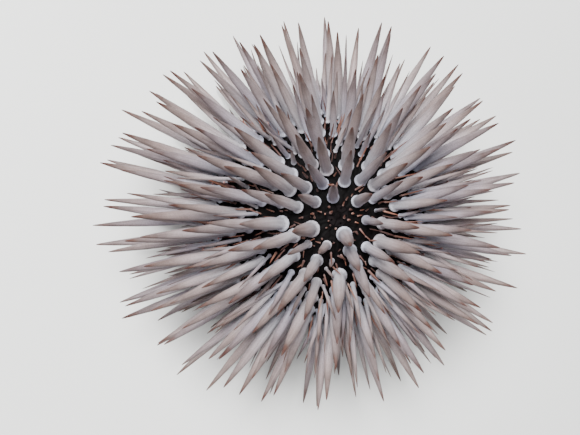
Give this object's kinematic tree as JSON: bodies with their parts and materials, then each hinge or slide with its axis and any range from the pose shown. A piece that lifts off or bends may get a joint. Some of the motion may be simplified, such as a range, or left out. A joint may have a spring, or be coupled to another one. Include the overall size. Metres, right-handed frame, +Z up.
{
  "type": "rock-boring sea urchin",
  "caption": "Oval sea urchin with stout tapering spines in paired columns over a domed test, resting mouth down on its lower spine tips.",
  "frame": {"origin": "on the floor, under the middle of the spines' overall spread", "axes": "+Z up, out of the apex; +X along the test's longer diameter, towards the right of the picture; +Y towards the top of the picture"},
  "size_m": [0.1085, 0.1005, 0.0569],
  "materials": {
    "spined_plates": "satin",
    "pored_plates": "satin",
    "apical_plates": "satin",
    "mouth_skin": "satin"
  },
  "bodies": {
    "root": {"interambulacrum_1": "spined_plates", "interambulacrum_2": "spined_plates", "interambulacrum_3": "spined_plates", "interambulacrum_4": "spined_plates", "interambulacrum_5": "spined_plates", "ambulacrum_1": "pored_plates", "ambulacrum_2": "pored_plates", "ambulacrum_3": "pored_plates", "ambulacrum_4": "pored_plates", "ambulacrum_5": "pored_plates", "apical_disc": "apical_plates", "peristome": "mouth_skin"}
  },
  "joints": []
}
